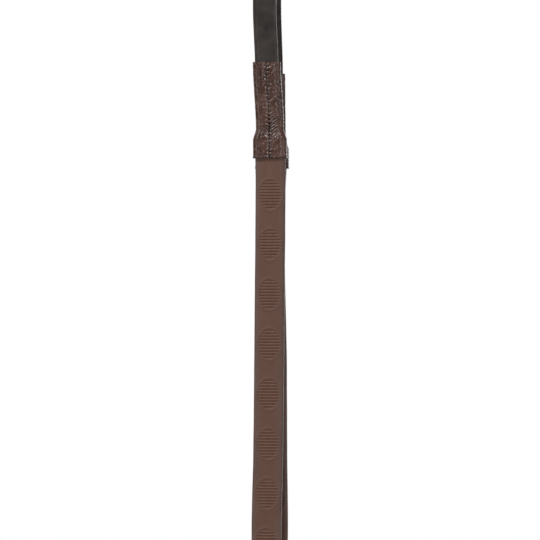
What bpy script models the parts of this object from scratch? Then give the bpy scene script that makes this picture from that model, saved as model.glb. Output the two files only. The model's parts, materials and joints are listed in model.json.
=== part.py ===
"""A pair of leather reins with ribbed rubber hand grips, hanging from a tack hook by their centre buckle.

The two reins hang one in front of the other. The rear rein's hand end runs over the hook as a tab and is
buckled to the front rein's hand end. Each rein has a rubber grip between two stitched leather sleeves, and
ends in a billet that folds round a bit ring and fastens on a hook stud.

Frame: metres, +Z up, X across the straps, -Y towards the front rein's outer face. The origin is where the
hook touches the underside of the tab.
"""

import math

import bmesh
import bpy
from mathutils import Matrix, Vector

# Fit
CLEARANCE = 0.0003

# Straps
STRAP_WIDTH = 0.016
STRAP_THICKNESS = 0.003
SKIVED_THICKNESS = 0.0018
REIN_LENGTH = 1.37
HOOK_RADIUS = 0.011
BEND_Z = -0.200

# Centre buckle
BUCKLE_WIRE_RADIUS = 0.0015
BUCKLE_LENGTH = 0.020
BUCKLE_SIDE_ROOM = 0.0006
BUCKLE_BAR_Z = -0.075
PRONG_RADIUS = 0.0011
PRONG_EYE_WIDTH = 0.0034
PRONG_EYE_WALL = 0.0013
PRONG_LIFT_SHARES = (0.35, 0.55, 0.80)
CHAPE_LENGTH = 0.045
CHAPE_MERGE_DROP = 0.012
TAB_LENGTH = 0.062
TAB_MERGE_DROP = 0.013
TAB_OVER_BAR_RISE = 0.002
TAB_UNDER_FRAME_ROOM = 0.0015
TAB_SLOT_SHARES = (0.175, 0.69)
TAB_HOLE_RADIUS = 0.0016
TAB_HOLE_PITCH = 0.024
TAB_HOLE_START = 0.0135
BUCKLE_FIXED_KEEPER_DROP = 0.019
BUCKLE_RUNNER_KEEPER_DROP = 0.037

# Hand grips and the sleeves that cover their ends
GRIP_SIDE_WALL = 0.00195
GRIP_WALL = 0.0014
GRIP_LENGTH = 0.625
GRIP_EDGE_SHARE = 0.28
REAR_GRIP_DROP = 0.006
SLEEVE_WALL = 0.0007
SLEEVE_LENGTH = 0.0665
SLEEVE_OVER_GRIP = 0.0135
SLEEVE_STEP = 0.0035
SLEEVE_EDGE = 0.0012
UPPER_SLEEVE_TOP_Z = -0.230

# Bit ends
LOOP_INNER_RADIUS = 0.0055
LOOP_SIDE_RISE = 0.001
LAYER_GAP = 0.0014
BILLET_JOIN_RISE = 0.028
FIXED_KEEPER_RISE = 0.037
STUD_RISE = 0.054
RUNNER_RISE = 0.072
TIP_RISE = 0.092
TIP_POINT_LENGTH = 0.007
TIP_POINT_WIDTH = 0.004

# Keepers
KEEPER_HEIGHT = 0.008
KEEPER_WALL = 0.0015

# Hook studs
STUD_RADIUS = 0.0013
STUD_BASE_RADIUS = 0.004
STUD_BASE_THICKNESS = 0.0008
STUD_HEAD_RADIUS = 0.0022
STUD_BEND_RADIUS = 0.0016
STUD_HOOK_RISE = 0.0055
STUD_SLOT_DOWN = 0.003
STUD_SLOT_UP = 0.006

# Finishes
BLACK_LEATHER = (0.020, 0.016, 0.014)
BROWN_LEATHER = (0.085, 0.030, 0.022)
BROWN_RUBBER = (0.115, 0.048, 0.033)
STEEL = (0.62, 0.61, 0.58)

ARC_STEPS = 9
EASE_STEPS = 8

# Worked out from the sizes above
STRAND_Y = HOOK_RADIUS + STRAP_THICKNESS / 2
STRAP_OUTER_Y = STRAND_Y + STRAP_THICKNESS / 2
BAR_Y = STRAP_OUTER_Y + CLEARANCE + BUCKLE_WIRE_RADIUS
EYE_INNER_RADIUS = BUCKLE_WIRE_RADIUS + CLEARANCE
CHAPE_RADIUS = EYE_INNER_RADIUS + SKIVED_THICKNESS / 2
RETURN_Y = STRAP_OUTER_Y + CLEARANCE + SKIVED_THICKNESS / 2
TAB_Y = RETURN_Y + SKIVED_THICKNESS / 2 + CLEARANCE + STRAP_THICKNESS / 2
TAB_OVER_BAR_Y = BAR_Y + CHAPE_RADIUS + SKIVED_THICKNESS / 2 + CLEARANCE + STRAP_THICKNESS / 2
FRAME_TOP_Z = BUCKLE_BAR_Z + BUCKLE_LENGTH
SLOT_HALF_WIDTH = PRONG_EYE_WIDTH / 2 + CLEARANCE
LOOP_RADIUS = LOOP_INNER_RADIUS + STRAP_THICKNESS / 2
LOOP_Z = -REIN_LENGTH + LOOP_RADIUS + STRAP_THICKNESS / 2
BILLET_Y = STRAP_OUTER_Y + LAYER_GAP + STRAP_THICKNESS / 2
GRIP_SLOT = (STRAP_WIDTH + 2 * CLEARANCE, STRAP_THICKNESS + 2 * CLEARANCE)
GRIP_SECTION = (GRIP_SLOT[0] + 2 * GRIP_SIDE_WALL, GRIP_SLOT[1] + 2 * GRIP_WALL)

COLLECTION = bpy.data.collections.new("leather_reins")
CUTTERS = bpy.data.collections.new("cutters")


def clear_scene():
    for obj in list(bpy.data.objects):
        bpy.data.objects.remove(obj)
    for collection in (COLLECTION, CUTTERS):
        bpy.context.scene.collection.children.link(collection)


def finish(name, color, roughness, metallic=0.0):
    material = bpy.data.materials.new(name)
    material.use_nodes = True
    shader = material.node_tree.nodes["Principled BSDF"]
    shader.inputs["Base Color"].default_value = (*color, 1.0)
    shader.inputs["Roughness"].default_value = roughness
    shader.inputs["Metallic"].default_value = metallic
    return material


def link(obj, material=None):
    COLLECTION.objects.link(obj)
    if material:
        obj.data.materials.append(material)
    return obj


def ease(start, end):
    """Stations of a smooth sideways shift from one (y, z, thickness) to another, ends included."""
    found = []
    for step in range(EASE_STEPS + 1):
        share = step / EASE_STEPS
        eased = share * share * (3 - 2 * share)
        found.append(
            (
                start[0] + (end[0] - start[0]) * eased,
                start[1] + (end[1] - start[1]) * share,
                start[2] + (end[2] - start[2]) * share,
            )
        )
    return found


def arc(center, radius, first, last, thickness, steps=ARC_STEPS):
    """Stations along an arc between two angles in degrees, counted from +Y towards +Z, ends included."""
    found = []
    for step in range(steps + 1):
        angle = math.radians(first + (last - first) * step / steps)
        found.append((center[0] + radius * math.cos(angle), center[1] + radius * math.sin(angle), thickness))
    return found


def without_repeats(stations):
    kept = [stations[0]]
    for station in stations[1:]:
        if math.dist(station[:2], kept[-1][:2]) > 1e-6:
            kept.append(station)
    return kept


def ribbon_outline(stations, round_start):
    """The closed outline of a strap seen edge on, from its centreline's (y, z, thickness) stations."""
    points = [Vector(station[:2]) for station in stations]
    left, right = [], []
    for index, point in enumerate(points):
        before = (point - points[index - 1]).normalized() if index else None
        after = (points[index + 1] - point).normalized() if index + 1 < len(points) else None
        tangent = ((before or after) + (after or before)).normalized()
        half = stations[index][2] / 2
        if before and after:
            half /= max(tangent.dot(after), 0.5)
        normal = Vector((-tangent.y, tangent.x)) * half
        left.append(point + normal)
        right.append(point - normal)
    outline = left + right[::-1]
    if round_start:
        start, radius = points[0], stations[0][2] / 2
        first = math.atan2(right[0].y - start.y, right[0].x - start.x)
        for step in range(1, 8):
            angle = first - math.pi * step / 8
            outline.append(start + radius * Vector((math.cos(angle), math.sin(angle))))
    return outline


def made_mesh(curve_object):
    """The curve object's mesh in world space, its caps welded to its sides, with the curve removed."""
    bpy.context.view_layer.update()
    graph = bpy.context.evaluated_depsgraph_get()
    mesh = bpy.data.meshes.new_from_object(curve_object.evaluated_get(graph))
    shell = bmesh.new()
    shell.from_mesh(mesh)
    bmesh.ops.remove_doubles(shell, verts=shell.verts, dist=1e-6)
    shell.transform(curve_object.matrix_world)
    bmesh.ops.recalc_face_normals(shell, faces=shell.faces)
    shell.to_mesh(mesh)
    shell.free()
    bpy.data.objects.remove(curve_object)
    return mesh


def ribbon(name, stations, material, round_start=False):
    """A strap of full width: the outline of its edge, extruded across X."""
    curve = bpy.data.curves.new(name, "CURVE")
    curve.dimensions = "2D"
    curve.fill_mode = "BOTH"
    curve.extrude = STRAP_WIDTH / 2
    outline = ribbon_outline(without_repeats(stations), round_start)
    spline = curve.splines.new("POLY")
    spline.points.add(len(outline) - 1)
    for point, place in zip(spline.points, outline):
        point.co = (place.x, place.y, 0, 1)
    spline.use_cyclic_u = True
    guide = bpy.data.objects.new(name, curve)
    guide.matrix_world = Matrix(((0, 0, 1, 0), (1, 0, 0, 0), (0, 1, 0, 0), (0, 0, 0, 1)))
    COLLECTION.objects.link(guide)
    mesh = made_mesh(guide)
    return link(bpy.data.objects.new(name, mesh), material)


def tube(name, path, radius, cyclic=False):
    """A round bar along (x, y, z) points, as a welded mesh object."""
    curve = bpy.data.curves.new(name, "CURVE")
    curve.dimensions = "3D"
    curve.bevel_depth = radius
    curve.bevel_resolution = 3
    curve.use_fill_caps = not cyclic
    spline = curve.splines.new("POLY")
    spline.points.add(len(path) - 1)
    for point, place in zip(spline.points, path):
        point.co = (*place, 1)
    spline.use_cyclic_u = cyclic
    guide = bpy.data.objects.new(name, curve)
    COLLECTION.objects.link(guide)
    mesh = made_mesh(guide)
    return bpy.data.objects.new(name, mesh)


def cutter(name, mesh):
    obj = bpy.data.objects.new(name, mesh)
    obj.hide_render = True
    obj.display_type = "WIRE"
    CUTTERS.objects.link(obj)
    return obj


def box_mesh(name, low, high):
    mesh = bpy.data.meshes.new(name)
    shell = bmesh.new()
    size = [b - a for a, b in zip(low, high)]
    middle = [(a + b) / 2 for a, b in zip(low, high)]
    bmesh.ops.create_cube(shell, size=1, matrix=Matrix.Translation(middle) @ Matrix.Diagonal((*size, 1)))
    shell.to_mesh(mesh)
    shell.free()
    return mesh


def disc_mesh(name, center, radius, length, turn):
    """A cylinder about its centre; turn is the matrix that lays its axis, which starts along Z."""
    mesh = bpy.data.meshes.new(name)
    shell = bmesh.new()
    bmesh.ops.create_cone(
        shell,
        cap_ends=True,
        segments=24,
        radius1=radius,
        radius2=radius,
        depth=length,
        matrix=Matrix.Translation(center) @ turn,
    )
    shell.to_mesh(mesh)
    shell.free()
    return mesh


ALONG_X = Matrix.Rotation(math.radians(90), 4, "Y")
ALONG_Y = Matrix.Rotation(math.radians(90), 4, "X")


def stack_mesh(name, center_y, sections):
    """A solid of rectangular sections (z, width, depth), lowest first: a box, and its top face extruded."""
    mesh = bpy.data.meshes.new(name)
    shell = bmesh.new()
    bmesh.ops.create_cube(shell, size=1)
    low, high = sections[:2]
    for vert in shell.verts:
        z, width, depth = high if vert.co.z > 0 else low
        vert.co = (math.copysign(width / 2, vert.co.x), center_y + math.copysign(depth / 2, vert.co.y), z)
    for z, width, depth in sections[2:]:
        shell.faces.ensure_lookup_table()
        top = max(shell.faces, key=lambda face: face.calc_center_median().z)
        extruded = bmesh.ops.extrude_face_region(shell, geom=[top])["geom"]
        bmesh.ops.delete(shell, geom=[top], context="FACES_ONLY")
        for vert in [item for item in extruded if isinstance(item, bmesh.types.BMVert)]:
            side = math.copysign(depth / 2, vert.co.y - center_y)
            vert.co = (math.copysign(width / 2, vert.co.x), center_y + side, z)
    bmesh.ops.recalc_face_normals(shell, faces=shell.faces)
    shell.to_mesh(mesh)
    shell.free()
    return mesh


def boolean(obj, other, operation="DIFFERENCE"):
    modifier = obj.modifiers.new(other.name, "BOOLEAN")
    modifier.operation = operation
    modifier.object = other


def bevel(obj, width, segments=2):
    modifier = obj.modifiers.new("edges", "BEVEL")
    modifier.width = width
    modifier.segments = segments
    modifier.limit_method = "ANGLE"
    modifier.angle_limit = math.radians(50)


def hollow(name, center_y, sections, wall, material, edge):
    """A sleeve of rectangular sections open at both ends, with its outer edges rounded.

    The sections are those of the space inside it.
    """
    outer = [(z, width + 2 * wall, depth + 2 * wall) for z, width, depth in sections]
    obj = link(bpy.data.objects.new(name, stack_mesh(name, center_y, outer)), material)
    bevel(obj, edge)
    inner = [list(section) for section in sections]
    inner[0][0] -= wall
    inner[-1][0] += wall
    boolean(obj, cutter(name + "_inside", stack_mesh(name + "_inside", center_y, inner)))
    return obj


def point_tip(obj, center_y, tip_z, upwards):
    """Cuts a strap's square end to a blunt point."""
    rise = 1 if upwards else -1
    reach = STRAP_WIDTH
    overlap = TIP_POINT_LENGTH / 2
    for side in (-1, 1):
        corner = Vector((side * STRAP_WIDTH / 2, center_y, tip_z - rise * TIP_POINT_LENGTH))
        lean = math.atan2((STRAP_WIDTH - TIP_POINT_WIDTH) / 2, TIP_POINT_LENGTH)
        place = Matrix.Translation(corner) @ Matrix.Rotation(-side * rise * lean, 4, "Y")
        low = (0 if side > 0 else -reach, -STRAP_THICKNESS, -overlap if upwards else -reach)
        high = (reach if side > 0 else 0, STRAP_THICKNESS, reach if upwards else overlap)
        name = f"{obj.name}_tip_{'right' if side > 0 else 'left'}"
        mesh = box_mesh(name, low, high)
        mesh.transform(place)
        boolean(obj, cutter(name, mesh))


def add_buckle(steel):
    """The wire frame that joins the two reins, and the prong that turns on its lower bar."""
    half_width = STRAP_WIDTH / 2 + BUCKLE_SIDE_ROOM + BUCKLE_WIRE_RADIUS
    corner = half_width - STRAP_WIDTH / 2
    path = []
    for center_x, center_z, first in (
        (half_width - corner, FRAME_TOP_Z - corner, 0),
        (-half_width + corner, FRAME_TOP_Z - corner, 90),
        (-half_width + corner, BUCKLE_BAR_Z + corner, 180),
        (half_width - corner, BUCKLE_BAR_Z + corner, 270),
    ):
        for x, z, _ in arc((center_x, center_z), corner, first, first + 90, 0, steps=4):
            path.append((x, -BAR_Y, z))
    frame = tube("buckle_frame", path, BUCKLE_WIRE_RADIUS, cyclic=True)
    link(frame, steel)

    prong_rest_y = BAR_Y + BUCKLE_WIRE_RADIUS + CLEARANCE + PRONG_RADIUS
    eye_radius = EYE_INNER_RADIUS + PRONG_EYE_WALL
    start, middle, end = (BUCKLE_BAR_Z + share * BUCKLE_LENGTH for share in PRONG_LIFT_SHARES)
    route = [
        (0, -BAR_Y, BUCKLE_BAR_Z + EYE_INNER_RADIUS + PRONG_EYE_WALL / 2),
        (0, -BAR_Y, start),
        (0, -(BAR_Y + prong_rest_y) / 2, middle),
        (0, -prong_rest_y, end),
        (0, -prong_rest_y, FRAME_TOP_Z + BUCKLE_WIRE_RADIUS),
    ]
    shaft = tube("prong_shaft", route, PRONG_RADIUS)
    shaft.hide_render = True
    shaft.display_type = "WIRE"
    CUTTERS.objects.link(shaft)
    pivot = Vector((0, -BAR_Y, BUCKLE_BAR_Z))
    eye = disc_mesh("buckle_prong", (0, 0, 0), eye_radius, PRONG_EYE_WIDTH, ALONG_X)
    prong = link(bpy.data.objects.new("buckle_prong", eye), steel)
    prong.location = pivot
    boolean(prong, shaft, "UNION")
    bore = disc_mesh("prong_bore", pivot, EYE_INNER_RADIUS, 2 * PRONG_EYE_WIDTH, ALONG_X)
    boolean(prong, cutter("prong_bore", bore))


def add_hand_ends(leather):
    """The upper straps: the rear rein's tab over the hook, and the front rein's fold round the buckle bar."""
    gap_z = BEND_Z + STRAP_THICKNESS / 2 + CLEARANCE
    full, thin = STRAP_THICKNESS, SKIVED_THICKNESS
    tip_z = BUCKLE_BAR_Z - TAB_LENGTH
    crossing_top = FRAME_TOP_Z - BUCKLE_WIRE_RADIUS - 2 * CLEARANCE - TAB_UNDER_FRAME_ROOM
    over_bar = (-TAB_OVER_BAR_Y, BUCKLE_BAR_Z + TAB_OVER_BAR_RISE, full)
    under_bar = (-TAB_OVER_BAR_Y, BUCKLE_BAR_Z - TAB_OVER_BAR_RISE, full)
    stations = [(STRAND_Y, gap_z, full), (STRAND_Y, gap_z / 2, full)]
    stations += arc((0, -HOOK_RADIUS), STRAND_Y, 0, 180, full, steps=17)
    stations += ease((-STRAND_Y, crossing_top, full), over_bar)
    stations += ease(under_bar, (-TAB_Y, BUCKLE_BAR_Z - TAB_MERGE_DROP, full))
    stations += [(-TAB_Y, tip_z, full)]
    tab = ribbon("rear_hand_strap", stations, leather)
    slot_low, slot_high = (BUCKLE_BAR_Z + share * BUCKLE_LENGTH for share in TAB_SLOT_SHARES)
    slot = box_mesh(
        "tab_slot",
        (-SLOT_HALF_WIDTH, -TAB_OVER_BAR_Y - STRAP_THICKNESS, slot_low),
        (SLOT_HALF_WIDTH, -STRAND_Y + STRAP_THICKNESS, slot_high),
    )
    boolean(tab, cutter("tab_slot", slot))
    for number in (1, 2):
        center = (0, -TAB_Y, BUCKLE_BAR_Z + TAB_HOLE_START - (number + 0.5) * TAB_HOLE_PITCH)
        hole = disc_mesh(f"tab_hole_{number}", center, TAB_HOLE_RADIUS, 2 * STRAP_THICKNESS, ALONG_Y)
        boolean(tab, cutter(f"tab_hole_{number}", hole))
    point_tip(tab, -TAB_Y, tip_z, upwards=False)

    merge_z = BUCKLE_BAR_Z - CHAPE_MERGE_DROP
    bar = (-BAR_Y, BUCKLE_BAR_Z)
    stations = [(-STRAND_Y, gap_z, full), (-STRAND_Y, (gap_z + merge_z) / 2, full)]
    stations += ease((-STRAND_Y, merge_z, full), (-BAR_Y + CHAPE_RADIUS, BUCKLE_BAR_Z, thin))
    stations += arc(bar, CHAPE_RADIUS, 0, 180, thin)
    stations += ease((-BAR_Y - CHAPE_RADIUS, BUCKLE_BAR_Z, thin), (-RETURN_Y, merge_z, thin))
    stations += [(-RETURN_Y, BUCKLE_BAR_Z - CHAPE_LENGTH, thin)]
    chape = ribbon("front_hand_strap", stations, leather)
    reach = EYE_INNER_RADIUS + PRONG_EYE_WALL + 2 * CLEARANCE
    eye_slot = box_mesh(
        "eye_slot",
        (-SLOT_HALF_WIDTH, -BAR_Y - 2 * reach, BUCKLE_BAR_Z - reach),
        (SLOT_HALF_WIDTH, -BAR_Y + 2 * reach, BUCKLE_BAR_Z + 2 * reach),
    )
    boolean(chape, cutter("eye_slot", eye_slot))


def add_keeper(name, inner_y, outer_y, middle_z, leather):
    """A leather loop round everything between two distances from the pair's middle plane."""
    depth = abs(outer_y - inner_y) + 2 * CLEARANCE
    width = STRAP_WIDTH + 2 * CLEARANCE
    sections = [(middle_z + rise * KEEPER_HEIGHT / 2, width, depth) for rise in (-1, 1)]
    return hollow(name, (inner_y + outer_y) / 2, sections, KEEPER_WALL, leather, KEEPER_WALL / 2)


def grip_ends(sleeve_top_z):
    """The heights of a grip's two ends, from the top of its upper sleeve."""
    top_z = sleeve_top_z - SLEEVE_LENGTH + SLEEVE_OVER_GRIP
    return top_z - GRIP_LENGTH, top_z


def add_grip(side, outward, sleeve_top_z, rubber):
    """The rubber cover, a flat tube over the strap."""
    middle_y = outward * STRAND_Y
    bottom_z, top_z = grip_ends(sleeve_top_z)
    sections = [(z, *GRIP_SECTION) for z in (bottom_z, top_z)]
    name = f"{side}_grip"
    grip = link(bpy.data.objects.new(name, stack_mesh(name, middle_y, sections)), rubber)
    bevel(grip, GRIP_EDGE_SHARE * GRIP_SECTION[1], segments=3)
    inner = [(z, *GRIP_SLOT) for z in (bottom_z - GRIP_WALL, top_z + GRIP_WALL)]
    boolean(grip, cutter(name + "_inside", stack_mesh(name + "_inside", middle_y, inner)))


def add_sleeves(side, outward, sleeve_top_z, leather):
    """The two stitched leather covers, each wide over the grip's end and narrow over the bare strap."""
    wide = tuple(size + 2 * CLEARANCE for size in GRIP_SECTION)
    bottom_z, top_z = grip_ends(sleeve_top_z)
    step_z = top_z + CLEARANCE
    upper = [
        (step_z - CLEARANCE - SLEEVE_OVER_GRIP, *wide),
        (step_z, *wide),
        (step_z + SLEEVE_STEP, *GRIP_SLOT),
        (sleeve_top_z, *GRIP_SLOT),
    ]
    lower = [(top_z + bottom_z - z, width, depth) for z, width, depth in reversed(upper)]
    for place, sections in (("upper", upper), ("lower", lower)):
        hollow(f"{side}_{place}_sleeve", outward * STRAND_Y, sections, SLEEVE_WALL, leather, SLEEVE_EDGE)


def add_stud(side, outward, steel):
    """The hook stud through the strap, with its washer, and the cutters for the holes it needs."""
    stud_z = LOOP_Z + STUD_RISE
    inner_face = STRAND_Y - STRAP_THICKNESS / 2
    washer_y = inner_face - CLEARANCE - STUD_BASE_THICKNESS / 2
    head_y = washer_y - STUD_BASE_THICKNESS - CLEARANCE
    base_y = STRAP_OUTER_Y + CLEARANCE + STUD_BASE_THICKNESS / 2
    bend_y = BILLET_Y + STRAP_THICKNESS / 2 + CLEARANCE + STUD_RADIUS
    bend = STUD_BEND_RADIUS
    route = [(0, outward * head_y, stud_z), (0, outward * bend_y, stud_z)]
    for y, z, _ in arc((bend_y, stud_z + bend), bend, -90, 0, 0, steps=5)[1:]:
        route.append((0, outward * y, z))
    route.append((0, outward * (bend_y + bend), stud_z + STUD_HOOK_RISE))
    stud = link(tube(f"{side}_hook_stud", route, STUD_RADIUS), steel)
    for part, y, radius in (("base", base_y, STUD_BASE_RADIUS), ("head", head_y, STUD_HEAD_RADIUS)):
        name = f"{side}_stud_{part}"
        center = (0, outward * y, stud_z)
        boolean(stud, cutter(name, disc_mesh(name, center, radius, STUD_BASE_THICKNESS, ALONG_Y)), "UNION")

    name = f"{side}_stud_washer"
    center = (0, outward * washer_y, stud_z)
    disc = disc_mesh(name, center, STUD_BASE_RADIUS, STUD_BASE_THICKNESS, ALONG_Y)
    washer = link(bpy.data.objects.new(name, disc), steel)
    hole_radius = STUD_RADIUS + CLEARANCE
    bore = disc_mesh(name + "_bore", center, hole_radius, 4 * STUD_BASE_THICKNESS, ALONG_Y)
    boolean(washer, cutter(name + "_bore", bore))

    hole_center = (0, outward * STRAND_Y, stud_z)
    hole = disc_mesh(f"{side}_stud_hole", hole_center, hole_radius, 1.5 * STRAP_THICKNESS, ALONG_Y)
    ends = sorted(outward * y for y in (BILLET_Y - 0.6 * STRAP_THICKNESS, BILLET_Y + STRAP_THICKNESS))
    slot = box_mesh(
        f"{side}_billet_slot",
        (-STUD_RADIUS - CLEARANCE, ends[0], stud_z - STUD_SLOT_DOWN),
        (STUD_RADIUS + CLEARANCE, ends[1], stud_z + STUD_SLOT_UP),
    )
    return cutter(f"{side}_stud_hole", hole), cutter(f"{side}_billet_slot", slot)


def add_rein(side, outward, sleeve_top_z, leather, cover_leather, rubber, steel):
    """One rein below its bend: strap and billet in one piece, grip, sleeves, keepers and hook stud."""
    full = STRAP_THICKNESS
    loop_y = STRAND_Y + LOOP_RADIUS
    join_z = LOOP_Z + BILLET_JOIN_RISE
    stations = [(STRAND_Y, BEND_Z, full), (STRAND_Y, (BEND_Z + LOOP_Z) / 2, full)]
    stations += arc((loop_y, LOOP_Z), LOOP_RADIUS, 180, 360, full)
    stations += ease((loop_y + LOOP_RADIUS, LOOP_Z + LOOP_SIDE_RISE, full), (BILLET_Y, join_z, full))
    stations += [(BILLET_Y, LOOP_Z + TIP_RISE, full)]
    stations = [(outward * y, z, thickness) for y, z, thickness in stations]
    strap = ribbon(f"{side}_strap", stations, leather, round_start=True)
    for hole in add_stud(side, outward, steel):
        boolean(strap, hole)
    point_tip(strap, outward * BILLET_Y, LOOP_Z + TIP_RISE, upwards=True)

    inner = outward * (STRAND_Y - full / 2)
    outer = outward * (BILLET_Y + full / 2)
    add_keeper(f"{side}_fixed_keeper", inner, outer, LOOP_Z + FIXED_KEEPER_RISE, leather)
    add_keeper(f"{side}_runner_keeper", inner, outer, LOOP_Z + RUNNER_RISE, leather)
    add_grip(side, outward, sleeve_top_z, rubber)
    add_sleeves(side, outward, sleeve_top_z, cover_leather)


def main():
    clear_scene()
    leather = finish("black_leather", BLACK_LEATHER, 0.42)
    cover_leather = finish("brown_leather", BROWN_LEATHER, 0.35)
    rubber = finish("brown_rubber", BROWN_RUBBER, 0.62)
    steel = finish("steel", STEEL, 0.25, 1.0)
    add_hand_ends(leather)
    add_buckle(steel)
    inner = -(STRAND_Y - STRAP_THICKNESS / 2)
    outer = -(TAB_Y + STRAP_THICKNESS / 2)
    add_keeper("buckle_fixed_keeper", inner, outer, BUCKLE_BAR_Z - BUCKLE_FIXED_KEEPER_DROP, leather)
    add_keeper("buckle_runner_keeper", inner, outer, BUCKLE_BAR_Z - BUCKLE_RUNNER_KEEPER_DROP, leather)
    rear_top_z = UPPER_SLEEVE_TOP_Z - REAR_GRIP_DROP
    add_rein("front", -1, UPPER_SLEEVE_TOP_Z, leather, cover_leather, rubber, steel)
    add_rein("rear", 1, rear_top_z, leather, cover_leather, rubber, steel)
    for obj in COLLECTION.objects:
        obj.data.shade_smooth()
        obj.data.set_sharp_from_angle(angle=math.radians(35))


main()
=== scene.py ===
"""Finishing of a pair of leather reins: straps, rubber grips, stitched sleeves and polished hardware.

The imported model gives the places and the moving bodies. Each strap, grip and sleeve is modelled flat, as it
is cut on a bench, and then wrapped round its section or laid along its route.
"""

from __future__ import annotations

import json
import logging
import math
import sys
from bisect import bisect_left
from collections.abc import Callable, Sequence
from dataclasses import dataclass, field
from enum import Enum

import bpy
from mathutils import Matrix, Vector, noise

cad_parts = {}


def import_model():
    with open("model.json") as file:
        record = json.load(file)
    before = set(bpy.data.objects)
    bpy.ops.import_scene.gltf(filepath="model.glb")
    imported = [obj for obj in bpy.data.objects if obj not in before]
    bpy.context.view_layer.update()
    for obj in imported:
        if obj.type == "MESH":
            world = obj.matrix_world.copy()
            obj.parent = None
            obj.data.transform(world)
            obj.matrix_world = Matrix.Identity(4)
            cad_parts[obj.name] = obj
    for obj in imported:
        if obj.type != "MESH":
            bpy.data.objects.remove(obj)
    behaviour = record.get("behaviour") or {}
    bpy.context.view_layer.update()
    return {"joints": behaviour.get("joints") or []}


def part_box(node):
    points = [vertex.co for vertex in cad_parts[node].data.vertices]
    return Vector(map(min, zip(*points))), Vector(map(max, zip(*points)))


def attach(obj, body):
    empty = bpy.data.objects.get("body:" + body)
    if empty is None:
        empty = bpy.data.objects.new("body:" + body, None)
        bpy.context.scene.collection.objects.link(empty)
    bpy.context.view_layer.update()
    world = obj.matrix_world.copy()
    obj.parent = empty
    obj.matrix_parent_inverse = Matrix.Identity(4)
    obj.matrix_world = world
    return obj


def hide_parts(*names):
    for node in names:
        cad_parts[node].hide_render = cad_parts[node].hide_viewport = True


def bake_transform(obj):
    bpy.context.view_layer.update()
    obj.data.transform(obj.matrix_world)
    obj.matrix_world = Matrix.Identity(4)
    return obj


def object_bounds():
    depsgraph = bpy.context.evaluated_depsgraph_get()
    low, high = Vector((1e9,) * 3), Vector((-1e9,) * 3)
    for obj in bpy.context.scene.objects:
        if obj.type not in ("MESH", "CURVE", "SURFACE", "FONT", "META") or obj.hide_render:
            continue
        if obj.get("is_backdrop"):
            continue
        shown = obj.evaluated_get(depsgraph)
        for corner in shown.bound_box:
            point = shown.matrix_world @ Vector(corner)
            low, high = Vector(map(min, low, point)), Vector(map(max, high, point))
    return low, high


LOG = logging.getLogger("reins")
TONE = "tone"
ROD_COLUMNS = 20
LATHE_COLUMNS = 40
Pair = tuple[float, float]
Triple = tuple[float, float, float]
Piece = bpy.types.Object
Finish = bpy.types.Material
Node = bpy.types.Node
Socket = bpy.types.NodeSocket


class Side(Enum):
    """Which rein a piece belongs to; the value is the sign of Y on its outer face."""

    FRONT = -1
    REAR = 1

    @property
    def word(self) -> str:
        """The side's name as the pieces spell it."""
        return self.name.lower()

    @property
    def body(self) -> str:
        """The moving body of this rein."""
        return f"{self.word}_rein"


class End(Enum):
    """Which end of the grip a sleeve covers; the value is the way along Z from grip to bare strap."""

    UPPER = 1
    LOWER = -1


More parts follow.
